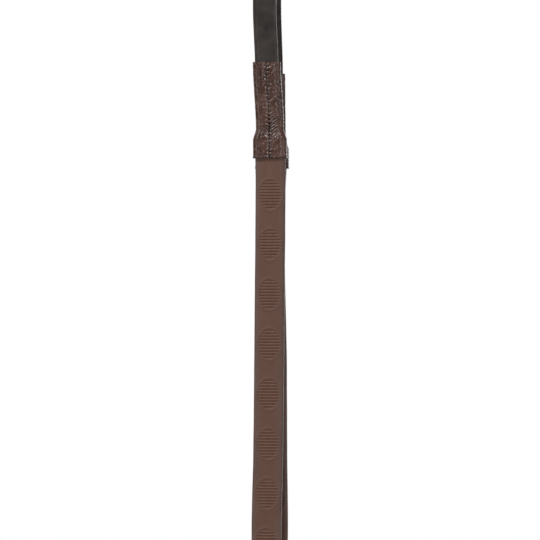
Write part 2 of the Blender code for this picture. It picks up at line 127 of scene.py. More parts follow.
class NodeSheet:
    """A material's node tree, with short calls for the nodes that these finishes use."""

    def __init__(self, name: str) -> None:
        """Starts a material with one Principled shader."""
        self.material = bpy.data.materials.new(name)
        self.material.use_nodes = True
        self.tree = self.material.node_tree
        self.place = self.add("TexCoord").outputs["Object"]

    def feed(self, node: Node, **values: Socket | float | Triple) -> Node:
        """Links sockets and sets plain values on a node; an underscore in a name stands for a space."""
        for name, value in values.items():
            target = node.inputs[name.replace("_", " ")]
            if isinstance(value, Socket):
                self.tree.links.new(value, target)
            else:
                target.default_value = value
        return node

    def add(self, kind: str, **values: Socket | float | Triple) -> Node:
        """Adds a node of a kind and feeds it."""
        return self.feed(self.tree.nodes.new(f"ShaderNode{kind}"), **values)

    def finished(self, **values: Socket | float | Triple) -> Finish:
        """Feeds the shader and gives the material."""
        self.feed(self.tree.nodes["Principled BSDF"], **values)
        return self.material

    def noise(
        self, scale: float, detail: float = 4.0, roughness: float = 0.55, stretch: Triple | None = None
    ) -> Socket:
        """Cloudy variation.

        Args:
            scale: Features per metre.
            detail: Octaves.
            roughness: Strength of the finer octaves.
            stretch: Factors on the coordinates, for grain with a direction.

        Returns:
            The value socket, from 0 to 1.
        """
        place = self.place
        if stretch:
            place = self.add("Mapping", Vector=place, Scale=stretch).outputs["Vector"]
        node = self.add("TexNoise", Vector=place, Scale=scale, Detail=detail, Roughness=roughness)
        return node.outputs["Fac"]

    def tone(self) -> Socket:
        """The piece's tone, stored on its mesh: painted shade in a seam's groove and holes and edge dye with
        painted shade at a mouth, or the inside of a pad.
        """
        node = self.add("Attribute")
        node.attribute_name = TONE
        return node.outputs["Fac"]

    def cells(self, scale: float) -> Socket:
        """Distance to the edges of irregular cells, as the pores and plates of a hide."""
        node = self.add("TexVoronoi", Vector=self.place, Scale=scale)
        node.feature = "DISTANCE_TO_EDGE"
        return node.outputs["Distance"]

    def ramp(self, value: Socket, *stops: tuple[float, Triple]) -> Socket:
        """Colours for a value, from (place, colour) stops."""
        node = self.add("ValToRGB", Fac=value)
        elements = node.color_ramp.elements
        for number, (place, color) in enumerate(stops):
            stop = elements[number] if number < 2 else elements.new(place)
            stop.position = place
            stop.color = (*color, 1.0)
        return node.outputs["Color"]

    def span(self, value: Socket, low: float, high: float) -> Socket:
        """A cloudy value, which seldom leaves 0.3 to 0.7, spread from low to high."""
        node = self.add("MapRange", Value=value, From_Min=0.3, From_Max=0.7, To_Min=low, To_Max=high)
        return node.outputs["Result"]

    def mixed(self, share: Socket, first: Socket, color: Triple) -> Socket:
        """A colour socket mixed towards a plain colour by a share."""
        node = self.add("Mix", Factor=share)
        node.data_type = "RGBA"
        self.tree.links.new(first, node.inputs[6])
        node.inputs[7].default_value = (*color, 1.0)
        return node.outputs[2]

    def bump(self, *layers: tuple[Socket, float]) -> Socket:
        """The normal of a relief made from (height, depth in metres) layers, each on the one before."""
        normal = None
        for height, depth in layers:
            node = self.add("Bump", Strength=1.0, Distance=depth, Height=height)
            if normal:
                self.feed(node, Normal=normal)
            normal = node.outputs["Normal"]
        return normal


@dataclass(frozen=True)
class Leather:
    """A dyed and finished hide."""

    name: str
    deep: Triple
    body: Triple
    worn: Triple
    shine: Pair
    pore_depth: float
    crease_depth: float
    pores_per_metre: float = 1500.0
    # Near-black mixed in by the tone attribute: painted shade in a sleeve's seam groove and stitch holes, and
    # edge dye with painted shade along its mouth.
    painted_shade_and_edge_dye: Triple = (0.006, 0.004, 0.003)
    gloss: float = 0.42

    def made(self) -> Finish:
        """The material: dye clouds, pores, fine creases and a rubbed shine."""
        sheet = NodeSheet(self.name)
        clouds = sheet.noise(90, 5, 0.6)
        fine = sheet.noise(1900, 3, 0.6)
        creases = sheet.noise(520, 5, 0.65)
        pores = sheet.cells(self.pores_per_metre)
        dye = sheet.ramp(clouds, (0.30, self.deep), (0.52, self.body), (0.78, self.worn))
        grained = sheet.mixed(sheet.span(fine, 0.0, 0.35), dye, self.deep)
        return sheet.finished(
            # Base colour darkened by the tone attribute: painted shade in the seam's groove and holes, edge
            # dye with painted shade at the mouth.
            Base_Color=sheet.mixed(sheet.tone(), grained, self.painted_shade_and_edge_dye),
            Roughness=sheet.span(clouds, *self.shine),
            Normal=sheet.bump(
                (creases, self.crease_depth), (pores, self.pore_depth), (fine, self.pore_depth / 2)
            ),
            Specular_IOR_Level=self.gloss,
        )


@dataclass(frozen=True)
class Rubber:
    """Moulded grip rubber, matt, with a dusty bloom."""

    name: str
    deep: Triple
    body: Triple
    bloom: Triple
    pad: Triple
    shine: Pair = (0.52, 0.70)
    mark_depth: float = 0.00004
    tooth_depth: float = 0.000022
    gloss: float = 0.35

    def made(self) -> Finish:
        """The material: soft clouds, vertical handling marks and a fine tooth."""
        sheet = NodeSheet(self.name)
        clouds = sheet.noise(60, 4, 0.6)
        marks = sheet.noise(260, 5, 0.7, stretch=(1.0, 1.0, 0.22))
        tooth = sheet.noise(3600, 2, 0.7)
        base = sheet.ramp(clouds, (0.32, self.deep), (0.52, self.body), (0.80, self.bloom))
        handled = sheet.mixed(sheet.span(marks, 0.0, 0.5), base, self.bloom)
        return sheet.finished(
            Base_Color=sheet.mixed(sheet.tone(), handled, self.pad),
            Roughness=sheet.span(marks, *self.shine),
            Normal=sheet.bump((marks, self.mark_depth), (tooth, self.tooth_depth)),
            Specular_IOR_Level=self.gloss,
        )


@dataclass(frozen=True)
class Thread:
    """Waxed linen thread."""

    name: str
    dark: Triple
    light: Triple
    shine: Pair = (0.6, 0.8)
    ply_depth: float = 0.00008

    def made(self) -> Finish:
        """The material: plies that wind round the thread, and a waxy sheen."""
        sheet = NodeSheet(self.name)
        plies = sheet.noise(2600, 3, 0.5, stretch=(1.0, 1.0, 2.2))
        return sheet.finished(
            Base_Color=sheet.ramp(plies, (0.35, self.dark), (0.65, self.light)),
            Roughness=sheet.span(plies, *self.shine),
            Normal=sheet.bump((plies, self.ply_depth)),
        )


@dataclass(frozen=True)
class Steel:
    """Polished stainless hardware with fine rubbing marks."""

    name: str
    metal: Triple
    dull: Triple
    shine: Pair = (0.14, 0.34)
    scratch_depth: float = 0.000012

    def made(self) -> Finish:
        """The material: bright metal, duller in clouds, with fine scratches."""
        sheet = NodeSheet(self.name)
        clouds = sheet.noise(160, 4, 0.6)
        scratches = sheet.noise(900, 6, 0.75, stretch=(1.0, 1.0, 0.12))
        return sheet.finished(
            Base_Color=sheet.ramp(clouds, (0.35, self.metal), (0.75, self.dull)),
            Roughness=sheet.span(scratches, *self.shine),
            Normal=sheet.bump((scratches, self.scratch_depth)),
            Metallic=1.0,
        )


class Finishes:
    """Every material on the reins, made once."""

    def __init__(self) -> None:
        """Makes the materials."""
        self.strap = Leather(
            "black_strap_leather", deep=(0.010, 0.007, 0.006), body=(0.021, 0.0150, 0.0125),
            worn=(0.036, 0.027, 0.023), shine=(0.36, 0.54), pore_depth=0.00004, crease_depth=0.00005,
        ).made()
        self.strap_edge = Leather(
            "burnished_edge", deep=(0.006, 0.005, 0.004), body=(0.011, 0.009, 0.008),
            worn=(0.022, 0.018, 0.016), shine=(0.16, 0.30), pore_depth=0.00002, crease_depth=0.00004,
        ).made()
        self.cover = Leather(
            "brown_cover_leather", deep=(0.025, 0.0084, 0.0051), body=(0.055, 0.0212, 0.0132),
            worn=(0.112, 0.055, 0.0393), shine=(0.22, 0.37), pore_depth=0.00008, crease_depth=0.00026,
            pores_per_metre=1300.0,
        ).made()
        self.cover_edge = Leather(
            "cover_cut_edge", deep=(0.004, 0.003, 0.003), body=(0.010, 0.006, 0.005),
            worn=(0.024, 0.014, 0.010), shine=(0.30, 0.50), pore_depth=0.00004, crease_depth=0.00008,
        ).made()
        self.rubber = Rubber(
            "grip_rubber", deep=(0.067, 0.034, 0.0250), body=(0.080, 0.043, 0.0322),
            bloom=(0.099, 0.058, 0.0465), pad=(0.088, 0.037, 0.021),
        ).made()
        self.thread = Thread("waxed_thread", dark=(0.004, 0.003, 0.002), light=(0.012, 0.008, 0.006)).made()
        self.steel = Steel("polished_steel", metal=(0.66, 0.65, 0.62), dull=(0.52, 0.50, 0.46)).made()


def deselect() -> None:
    """Leaves nothing selected, in object mode."""
    if bpy.context.object and bpy.context.object.mode != "OBJECT":
        bpy.ops.object.mode_set(mode="OBJECT")
    bpy.ops.object.select_all(action="DESELECT")


def pick(obj: Piece) -> None:
    """Makes one object the only selected and the active one."""
    deselect()
    obj.select_set(True)
    bpy.context.view_layer.objects.active = obj


def settle(obj: Piece) -> None:
    """Puts the object's place, turn and scale into its mesh."""
    pick(obj)
    bpy.ops.object.transform_apply(location=True, rotation=True, scale=True)


def apply_modifiers(obj: Piece) -> None:
    """Applies every modifier, in order."""
    pick(obj)
    for modifier in list(obj.modifiers):
        bpy.ops.object.modifier_apply(modifier=modifier.name)


def smooth(obj: Piece, degrees: float = 40.0) -> None:
    """Shades the object smooth, with creases kept sharp past an angle."""
    pick(obj)
    bpy.ops.object.shade_smooth_by_angle(angle=math.radians(degrees))


def flat_piece(name: str, columns: int, rows: int) -> Piece:
    """A flat sheet of unit size with its corner at the origin, cut into columns along X and rows along Y."""
    deselect()
    bpy.ops.mesh.primitive_grid_add(
        x_subdivisions=columns, y_subdivisions=rows, size=1, location=(0.5, 0.5, 0)
    )
    obj = bpy.context.object
    obj.name = name
    obj.data.name = name
    settle(obj)
    return obj


def shape(
    obj: Piece,
    place: Callable[[Vector], Vector],
    tone: Callable[[Vector], float] | None = None,
) -> None:
    """Moves every vertex to where a rule puts it.

    Args:
        obj: The piece.
        place: Gives a vertex's new place from its old one.
        tone: Gives the tone to store at a vertex, from its old place.
    """
    if tone:
        tones = obj.data.attributes.new(TONE, "FLOAT", "POINT")
        for value, vertex in zip(tones.data, obj.data.vertices):
            value.value = tone(vertex.co)
    for vertex in obj.data.vertices:
        vertex.co = place(vertex.co.copy())
    obj.data.update()


def mend(obj: Piece, distance: float = 0.00002, fill: bool = False) -> None:
    """Merges doubled vertices, closes open ends if asked, and turns the faces outwards."""
    pick(obj)
    bpy.ops.object.mode_set(mode="EDIT")
    bpy.ops.mesh.select_all(action="SELECT")
    bpy.ops.mesh.remove_doubles(threshold=distance)
    if fill:
        bpy.ops.mesh.select_all(action="DESELECT")
        bpy.ops.mesh.select_mode(type="EDGE")
        bpy.ops.mesh.select_non_manifold()
        bpy.ops.mesh.edge_face_add()
    bpy.ops.mesh.select_all(action="SELECT")
    bpy.ops.mesh.normals_make_consistent(inside=False)
    bpy.ops.object.mode_set(mode="OBJECT")


def solidify(obj: Piece, thickness: float, offset: float, rim_slot: int = 0) -> None:
    """Gives a sheet its wall.

    Args:
        obj: The sheet.
        thickness: The wall.
        offset: -1 to grow against the normals, 1 along them, 0 both ways.
        rim_slot: How many slots further the rim's material is.
    """
    wall = obj.modifiers.new("wall", "SOLIDIFY")
    wall.thickness = thickness
    wall.offset = offset
    wall.material_offset_rim = rim_slot
    apply_modifiers(obj)


def round_edges(obj: Piece, radius: float, segments: int) -> None:
    """Rounds every edge that turns by more than 60 degrees."""
    rounding = obj.modifiers.new("rounding", "BEVEL")
    rounding.width = radius
    rounding.segments = segments
    rounding.limit_method = "ANGLE"
    rounding.angle_limit = math.radians(60)
    apply_modifiers(obj)


def metal(obj: Piece, steel: Finish, node: str, body: str) -> None:
    """Finishes a piece of hardware: its metal, what it stands for and the body that it moves with."""
    obj.data.materials.append(steel)
    smooth(obj, 50)
    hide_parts(node)
    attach(obj, body)
    LOG.info("%s", obj.name)


def eased(value: float) -> float:
    """A 0 to 1 value with soft ends, held inside that range."""
    value = min(max(value, 0.0), 1.0)
    return value * value * (3 - 2 * value)


def joined(name: str, parts: Sequence[Piece]) -> Piece:
    """Several objects made one."""
    deselect()
    for part in parts:
        part.select_set(True)
    bpy.context.view_layer.objects.active = parts[0]
    if len(parts) > 1:
        bpy.ops.object.join()
    parts[0].name = name
    parts[0].data.name = name
    return parts[0]


def wrapped(share: float, half_width: float, half_depth: float, radius: float) -> tuple[Vector, Vector]:
    """A point on a rounded rectangle, and its outward normal.

    Args:
        share: How far round, from 0 to 1, starting at the middle of the side that faces -Y and going to +X.
        half_width: Half its size along X.
        half_depth: Half its size along Y.
        radius: Its corner radius.

    Returns:
        The point and the normal, in the XY plane.
    """
    flat_x, flat_y, bend = half_width - radius, half_depth - radius, math.pi * radius / 2
    walk = (share % 1.0) * (4 * flat_x + 4 * flat_y + 4 * bend)
    corners = (
        (flat_x, -flat_y, -90), (flat_x, flat_y, 0), (-flat_x, flat_y, 90), (-flat_x, -flat_y, 180)
    )
    runs = (flat_x, 2 * flat_y, 2 * flat_x, 2 * flat_y)
    at = Vector((0, -half_depth))
    heading = Vector((1, 0))
    for (x, y, start), run in zip(corners, runs):
        if walk <= run:
            point = at + heading * walk
            return point, Vector((heading.y, -heading.x))
        walk -= run
        if walk <= bend:
            angle = math.radians(start) + walk / radius
            normal = Vector((math.cos(angle), math.sin(angle)))
            return Vector((x, y)) + normal * radius, normal
        walk -= bend
        angle = math.radians(start + 90)
        normal = Vector((math.cos(angle), math.sin(angle)))
        at = Vector((x, y)) + normal * radius
        heading = Vector((-normal.y, normal.x))
    point = at + heading * walk
    return point, Vector((heading.y, -heading.x))


@dataclass(frozen=True)
class Sway:
    """How far a hanging rein wanders sideways, from (height, shift) pairs, highest first."""

    stops: tuple[Pair, ...]

    def slope(self, number: int) -> float:
        """How fast the shift changes with height at one of the stops; none at the first and the last."""
        if number in (0, len(self.stops) - 1):
            return 0.0
        (high, first), (low, last) = self.stops[number - 1], self.stops[number + 1]
        return (last - first) / (low - high)

    def at(self, z: float) -> float:
        """The shift along X at a height."""
        if z >= self.stops[0][0]:
            return self.stops[0][1]
        for number, ((high, first), (low, second)) in enumerate(zip(self.stops, self.stops[1:])):
            if z >= low:
                span = low - high
                share = (z - high) / span
                rest = 1 - share
                ends = first * rest * rest * (1 + 2 * share) + second * share * share * (1 + 2 * rest)
                lean = self.slope(number) * share * rest * rest
                lean -= self.slope(number + 1) * share * share * rest
                return ends + span * lean
        return self.stops[-1][1]


class Route:
    """The line a strap's middle follows, seen edge on, as (y, z) points with smooth turns."""

    def __init__(self, points: Sequence[Pair]) -> None:
        """Keeps the points that differ and measures along them."""
        self.points = [Vector(points[0])]
        for point in points[1:]:
            if (Vector(point) - self.points[-1]).length > 1e-6:
                self.points.append(Vector(point))
        self.lengths = [0.0]
        for first, second in zip(self.points, self.points[1:]):
            self.lengths.append(self.lengths[-1] + (second - first).length)
        self.normals = []
        for number in range(len(self.points)):
            before = self.points[max(number - 1, 0)]
            after = self.points[min(number + 1, len(self.points) - 1)]
            way = (after - before).normalized()
            self.normals.append(Vector((-way.y, way.x)))

    @property
    def length(self) -> float:
        """The whole length."""
        return self.lengths[-1]

    def at(self, distance: float) -> tuple[Vector, Vector]:
        """The point and the normal at a distance along the route."""
        number = min(max(bisect_left(self.lengths, distance) - 1, 0), len(self.points) - 2)
        span = self.lengths[number + 1] - self.lengths[number]
        share = (distance - self.lengths[number]) / span
        point = self.points[number].lerp(self.points[number + 1], share)
        normal = self.normals[number].lerp(self.normals[number + 1], min(max(share, 0), 1)).normalized()
        return point, normal


def turn(center: Pair, radius: float, first: float, last: float, steps: int = 24) -> list:
    """Points along an arc between two angles in degrees, counted from +Y towards +Z."""
    angles = [math.radians(first + (last - first) * step / steps) for step in range(steps + 1)]
    return [(center[0] + radius * math.cos(a), center[1] + radius * math.sin(a)) for a in angles]


def shift(start: Pair, end: Pair, steps: int = 16) -> list:
    """Points of a smooth sideways move from one (y, z) place to another."""
    return [
        (start[0] + (end[0] - start[0]) * eased(step / steps), start[1] + (end[1] - start[1]) * step / steps)
        for step in range(steps + 1)
    ]


@dataclass(frozen=True)
class Layout:
    """Sizes shared by the pieces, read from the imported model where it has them."""

    thickness: float
    width: float
    strand_y: float
    hook_radius: float
    loop_bottom_z: float
    bar_y: float
    bar_z: float
    frame_top_z: float
    bend_z: float
    wire_radius: float
    skived: float = 0.0018
    clearance: float = 0.0003
    loop_inner_radius: float = 0.0055
    layer_gap: float = 0.0014
    join_rise: float = 0.028
    tip_rise: float = 0.092
    tab_length: float = 0.062
    chape_length: float = 0.045
    fold_rise: float = 0.012

    @classmethod
    def read(cls, joints: Sequence[dict]) -> Layout:
        """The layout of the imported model."""
        tab_low, tab_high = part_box("rear_hand_strap")
        frame_low, frame_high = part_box("buckle_frame")
        bend = next(joint for joint in joints if joint["name"] == "rear_rein_bend")
        prong = next(joint for joint in joints if joint["name"] == "prong_turn")
        strand_y = bend["pos_m"][1]
        thickness = tab_high.z
        wire = (frame_high.y - frame_low.y) / 2
        return cls(
            thickness=thickness,
            width=tab_high.x - tab_low.x,
            strand_y=strand_y,
            hook_radius=strand_y - thickness / 2,
            loop_bottom_z=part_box("front_strap")[0].z,
            bar_y=-prong["pos_m"][1],
            bar_z=prong["pos_m"][2],
            frame_top_z=frame_high.z - wire,
            bend_z=bend["pos_m"][2],
            wire_radius=wire,
        )

    @property
    def loop_radius(self) -> float:
        """The bit loop's radius at the middle of the leather."""
        return self.loop_inner_radius + self.thickness / 2

    @property
    def loop_z(self) -> float:
        """The height of the bit loop's middle."""
        return self.loop_bottom_z + self.loop_radius + self.thickness / 2

    @property
    def billet_y(self) -> float:
        """How far from the middle plane the billet lies."""
        return self.strand_y + self.thickness + self.layer_gap

    @property
    def chape_radius(self) -> float:
        """The fold's radius round the buckle bar."""
        return self.wire_radius + self.clearance + self.skived / 2

    def billet_points(self) -> list:
        """The route from below the lower sleeve round the bit loop to the billet's tip, outwards as +Y."""
        loop_y = self.strand_y + self.loop_radius
        points = turn((loop_y, self.loop_z), self.loop_radius, 180, 360)
        start = (loop_y + self.loop_radius, self.loop_z + 0.001)
        points += shift(start, (self.billet_y, self.loop_z + self.join_rise))
        return points + [(self.billet_y, self.loop_z + self.tip_rise)]

    def rear_route(self) -> Route:
        """The rear rein, from the tab's tip over the hook and down to the billet's tip."""
        outer = self.strand_y + self.thickness / 2
        return_y = outer + self.clearance + self.skived / 2
        tab_y = return_y + self.skived / 2 + self.clearance + self.thickness / 2
        over_y = self.bar_y + self.chape_radius + self.skived / 2 + self.clearance + self.thickness / 2
        top = self.frame_top_z - self.wire_radius - 2 * self.clearance - 0.0015
        points = [(-tab_y, self.bar_z - self.tab_length)]
        points += shift((-tab_y, self.bar_z - 0.013), (-over_y, self.bar_z - 0.002))
        points += shift((-over_y, self.bar_z + 0.002), (-self.strand_y, top))
        points += turn((0, -self.hook_radius), self.strand_y, 180, 0, 36)
        return Route(points + self.billet_points())

    def front_route(self) -> Route:
        """The front rein, from the end of the fold round the buckle bar down to the billet's tip."""
        outer = self.strand_y + self.thickness / 2
        return_y = outer + self.clearance + self.skived / 2
        merge_z = self.bar_z - self.fold_rise
        points = [(-return_y, self.bar_z - self.chape_length)]
        points += shift((-return_y, merge_z), (-self.bar_y - self.chape_radius, self.bar_z))
        points += turn((-self.bar_y, self.bar_z), self.chape_radius, 180, 0)
        points += shift((-self.bar_y + self.chape_radius, self.bar_z), (-self.strand_y, merge_z))
        return Route(points + [(-y, z) for y, z in self.billet_points()])


@dataclass
class Strap:
    """One rein's leather, from its hand end to its billet, in one piece."""

    side: Side
    layout: Layout
    finishes: Finishes
    sway: Sway
    row_length: float = 0.00125
    columns: int = 16
    crease_inset: float = 0.0019
    crease_depth: float = 0.00014
    crease_reach: float = 0.02
    edge_round: float = 0.0006
    tip_length: float = 0.0105
    tip_share: float = 0.12
    tip_power: float = 2.2
    skive_length: float = 0.012
    blend_above: float = 0.024
    blend_below: float = 0.026
    hole_radius: float = 0.0016
    hole_pitch: float = 0.024

    def route(self) -> Route:
        """The line that this strap follows."""
        return self.layout.rear_route() if self.side is Side.REAR else self.layout.front_route()

    def thickness_at(self, distance: float) -> float:
        """The leather's thickness: skived where the front rein folds round the buckle bar."""
        if self.side is Side.REAR:
            return self.layout.thickness
        fold = self.layout.chape_length + math.pi * self.layout.chape_radius
        share = eased((distance - fold) / self.skive_length)
        return self.layout.skived + (self.layout.thickness - self.layout.skived) * share

    def half_width_at(self, distance: float, length: float) -> float:
        """Half the strap's width: a blunt point at each free tip."""
        half = self.layout.width / 2
        ends = [length - distance]
        if self.side is Side.REAR:
            ends.append(distance)
        for left in ends:
            if left < self.tip_length:
                fall = (1 - left / self.tip_length) ** self.tip_power
                half *= self.tip_share + (1 - self.tip_share) * math.sqrt(max(1 - fall, 0.0))
        return half

    def build(self) -> None:
        """Models the strap flat, presses its crease lines, and lays it along its route."""
        route = self.route()
        rows = round(route.length / self.row_length)
        name = f"{self.side.word}_leather_strap"
        obj = flat_piece(name, self.columns, rows)
        edge = self.crease_inset / (self.layout.width / 2)
        lines = [0.0, 0.35, 0.62, *(1 - share * edge for share in (1.6, 1.25, 1, 0.75, 0.4)), 1.0]
        across = [-value for value in reversed(lines[1:])] + lines
        last = len(across) - 1
        shape(obj, lambda co: Vector((across[round(co.x * last)], co.y * route.length, 0)))
        solidify(obj, 1.0, 0)
        for finish in (self.finishes.strap, self.finishes.strap_edge):
            obj.data.materials.append(finish)
        def lay(co: Vector) -> Vector:
            """The place on the route of a point of the flat strap."""
            point, normal = route.at(co.y)
            height = math.copysign(0.5, co.z) * self.thickness_at(co.y)
            if abs(abs(co.x) - (1 - edge)) < self.crease_reach:
                height -= math.copysign(self.crease_depth, height)
            x = co.x * self.half_width_at(co.y, route.length)
            return Vector((x, point.x + normal.x * height, point.y + normal.y * height))

        shape(obj, lay)
        mend(obj, 0.000005)
        round_edges(obj, self.edge_round, 3)
        for cutter in self.cutters():
            cut = obj.modifiers.new("cut", "BOOLEAN")
            cut.object = cutter
            cut.solver = "EXACT"
            apply_modifiers(obj)
            bpy.data.objects.remove(cutter)
        for face in obj.data.polygons:
            face.material_index = int(abs(face.normal.x) > 0.5)
        shape(obj, lambda co: Vector((co.x + self.sway.at(co.z), co.y, co.z)))
        smooth(obj, 50)
        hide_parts(f"{self.side.word}_hand_strap", f"{self.side.word}_strap")
        self.side.body
        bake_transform(obj)
        LOG.info("%s: %.3f m of leather", name, route.length)

    def cutters(self) -> list[Piece]:
        """Solids to take out of the strap: the billet's slot, the stud's hole, and the hand end's holes."""
        layout, outward = self.layout, self.side.value
        low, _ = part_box(f"{self.side.word}_hook_stud")
        stud_z = low.z + 0.004
        through = 2 * layout.thickness
        slot_y = outward * (layout.billet_y + layout.thickness / 2 + 0.0008)
        found = [
            block((0.0032, through, 0.009), (0, slot_y, stud_z + 0.0015)),
            peg(self.hole_radius, through, (0, outward * (layout.strand_y - 0.0012), stud_z)),
        ]
        if self.side is Side.FRONT:
            return found + [block((0.0040, 0.014, 0.0110), (0, -layout.bar_y, layout.bar_z + 0.0018))]
        found.append(block((0.0040, 0.016, 0.0103), (0, -layout.bar_y - 0.001, layout.bar_z + 0.00865)))
        for number in (1, 2):
            z = layout.bar_z + 0.0135 - (number + 0.5) * self.hole_pitch
            found.append(peg(self.hole_radius, 0.0075, (0, -layout.strand_y - 0.0065, z)))
        return found


def block(size: Triple, center: Triple) -> Piece:
    """A plain box, for cutting a slot."""
    deselect()
    bpy.ops.mesh.primitive_cube_add(size=1, location=center)
    obj = bpy.context.object
    obj.scale = size
    settle(obj)
    return obj


def peg(radius: float, length: float, center: Triple) -> Piece:
    """A round bar along Y, for cutting a hole."""
    deselect()
    bpy.ops.mesh.primitive_cylinder_add(
        vertices=32, radius=radius, depth=length, location=center, rotation=(math.pi / 2, 0, 0)
    )
    settle(bpy.context.object)
    return bpy.context.object


@dataclass
class Grip:
    """A rubber hand grip: a flat tube with oval ribbed pads along both faces."""

    side: Side
    layout: Layout
    finishes: Finishes
    sway: Sway
    fine_row: float = 0.00030
    rows_between: int = 4
    face_columns: int = 24
    corner_columns: int = 3
    corner: float = 0.0019
    first_pad: float = 0.0385
    pad_pitch: float = 0.0343
    pad_half_width: float = 0.0084
    pad_half_length: float = 0.0112
    rim_height: float = 0.00030
    rib_pitch: float = 0.00206
    rib_height: float = 0.00064
    rib_fade: float = 0.12
    rib_reach: float = 0.0101
    ripple: float = 0.00008

    def relief(self, x: float, down: float, count: int) -> Pair:
        """How far the rubber stands proud at a place on a face, and how far inside a pad's ribs it is.

        Args:
            x: The place across the face.
            down: Its distance below the grip's top.
            count: How many pads a face holds.

        Returns:
            The height and the 0 to 1 share.
        """
        number = min(max(round((down - self.first_pad) / self.pad_pitch), 0), count - 1)
        along = down - self.first_pad - number * self.pad_pitch
        reach = math.hypot(x / self.pad_half_width, along / self.pad_half_length)
        if reach > 1.3:
            return 0.0, 0.0
        inside = eased((0.96 - reach) / self.rib_fade) * eased((self.rib_reach - abs(along)) / 0.0008)
        rim = math.exp(-(((reach - 1.0) / 0.06) ** 2))
        crest = 1 - abs(math.sin(math.pi * along / self.rib_pitch)) ** 1.4
        return inside * self.rib_height * (crest - 0.45) + rim * self.rim_height, inside

    def shares(self, half_width: float, half_depth: float) -> list[float]:
        """Where the columns stand round the section: close on the faces and corners, one on each side."""
        flat_x, flat_y = half_width - self.corner, half_depth - self.corner
        bend = math.pi * self.corner / 2
        half_face = self.face_columns // 2
        stops = [0.0]
        for run, steps in (
            (flat_x, half_face), (bend, self.corner_columns), (2 * flat_y, 1), (bend, self.corner_columns),
            (2 * flat_x, self.face_columns), (bend, self.corner_columns), (2 * flat_y, 1),
            (bend, self.corner_columns), (flat_x, half_face),
        ):
            stops += [stops[-1] + run * (step + 1) / steps for step in range(steps)]
        return [stop / stops[-1] for stop in stops]

    def rows(self, length: float, count: int) -> list[float]:
        """The rows' distances below the grip's top: close where a pad is, wide between pads."""
        half = 1.08 * self.pad_half_length
        fine = round(2 * half / self.fine_row)
        found = [0.0, 0.004, 0.012]
        for number in range(count):
            start = self.first_pad + number * self.pad_pitch - half
            found += [start + 2 * half * step / fine for step in range(fine + 1)]
            gap = self.pad_pitch - 2 * half
            if number < count - 1:
                found += [start + 2 * half + gap * (step + 1) / self.rows_between
                          for step in range(self.rows_between - 1)]
        return found + [length - 0.012, length - 0.004, length]

    def build(self) -> None:
        """Rolls a finely cut sheet into the grip and raises its pads."""
        node = f"{self.side.word}_grip"
        low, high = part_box(node)
        length = high.z - low.z
        half_width, half_depth = (high.x - low.x) / 2, (high.y - low.y) / 2
        middle_y = (high.y + low.y) / 2
        count = round((length - 2 * self.first_pad) / self.pad_pitch) + 1
        shares = self.shares(half_width, half_depth)
        rows = self.rows(length, count)
        obj = flat_piece(f"{self.side.word}_ribbed_grip", len(shares) - 1, len(rows) - 1)

        def spot(co: Vector) -> tuple[Vector, Vector, float]:
            """A sheet's point on the section, its normal and its distance below the top."""
            down = rows[round((1 - co.y) * (len(rows) - 1))]
            share = shares[round(co.x * (len(shares) - 1))]
            return *wrapped(share, half_width, half_depth, self.corner), down

        def roll(co: Vector) -> Vector:
            """The place of a sheet's point on the finished grip."""
            point, normal, down = spot(co)
            proud = self.relief(point.x, down, count)[0] if abs(normal.y) > 0.8 else 0.0
            proud += self.ripple * noise.noise(Vector((point.x * 140, point.y * 140, down * 60)))
            z = high.z - down
            x = point.x + normal.x * proud + self.sway.at(z)
            return Vector((x, middle_y + point.y + normal.y * proud, z))

        def tone(co: Vector) -> float:
            """How far a sheet's point takes the pads' colour: on the faces, and more inside a pad."""
            point, normal, down = spot(co)
            pad = self.relief(point.x, down, count)[1] if abs(normal.y) > 0.8 else 0.0
            middle = eased(1.5 * (1 - abs(point.x) / half_width))
            return min(0.70 * middle + 0.35 * pad, 1.0)

        shape(obj, roll, tone)
        mend(obj, 0.000005, fill=True)
        obj.data.materials.append(self.finishes.rubber)
        smooth(obj, 60)
        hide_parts(node)
        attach(obj, self.side.body)
        LOG.info("%s: %d pads a side", obj.name, count)


